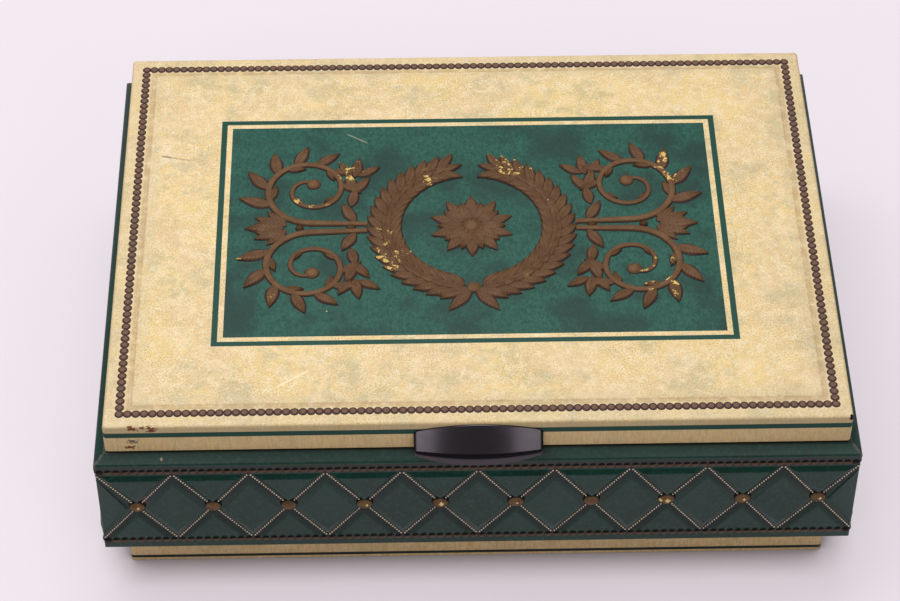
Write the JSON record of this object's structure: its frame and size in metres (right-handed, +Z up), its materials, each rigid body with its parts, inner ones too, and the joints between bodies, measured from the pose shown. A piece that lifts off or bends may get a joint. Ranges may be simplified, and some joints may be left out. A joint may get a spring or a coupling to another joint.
{
  "type": "hinged tin box",
  "caption": "Shallow rectangular tinplate box with a hinged flanged lid, a moulded thumb lift, a quilted band with pressed studs and an inset foot, for keeping small things.",
  "frame": {"origin": "middle of the foot's flat underside", "axes": "+X along the front, +Z up through the lid, and the front with its thumb lift faces -Y"},
  "size_m": [0.2496, 0.1882, 0.0738],
  "materials": {
    "foot_enamel": "cream printed tinplate with a clear lacquer, slightly mottled",
    "liner_tin": "plain tinplate with a clear lacquer",
    "band_lacquer": "dark green gloss lacquer over pressed quilting, with bronze studs",
    "shoulder_lacquer": "dark green gloss lacquer",
    "hinge_steel": "plain tinned steel strip",
    "pin_steel": "bright drawn wire",
    "rivet_steel": "zinc plated steel",
    "lid_print": "cream parchment print with a green panel under a satin lacquer",
    "lift_plastic": "black moulded plastic with a satin gloss"
  },
  "bodies": {
    "case": {"base_tray": "foot_enamel", "liner": "liner_tin", "band_sleeve": "band_lacquer", "shoulder_frame": "shoulder_lacquer", "hinge_leaf_case_left": "hinge_steel", "hinge_leaf_case_right": "hinge_steel", "hinge_pin_left": "pin_steel", "hinge_pin_right": "pin_steel", "case_hinge_rivets": "rivet_steel"},
    "lid": {"lid_shell": "lid_print", "hinge_leaf_lid_left": "hinge_steel", "hinge_leaf_lid_right": "hinge_steel", "lid_hinge_rivets": "rivet_steel", "thumb_lift": "lift_plastic", "thumb_lift_washers": "rivet_steel", "thumb_lift_screws": "rivet_steel"}
  },
  "joints": [
    {"name": "lid_hinge", "type": "hinge", "parent": "case", "child": "lid", "pos_m": [0, 0.0866, 0.0621], "axis": [-1, 0, 0], "range_deg": [0, 96]}
  ]
}
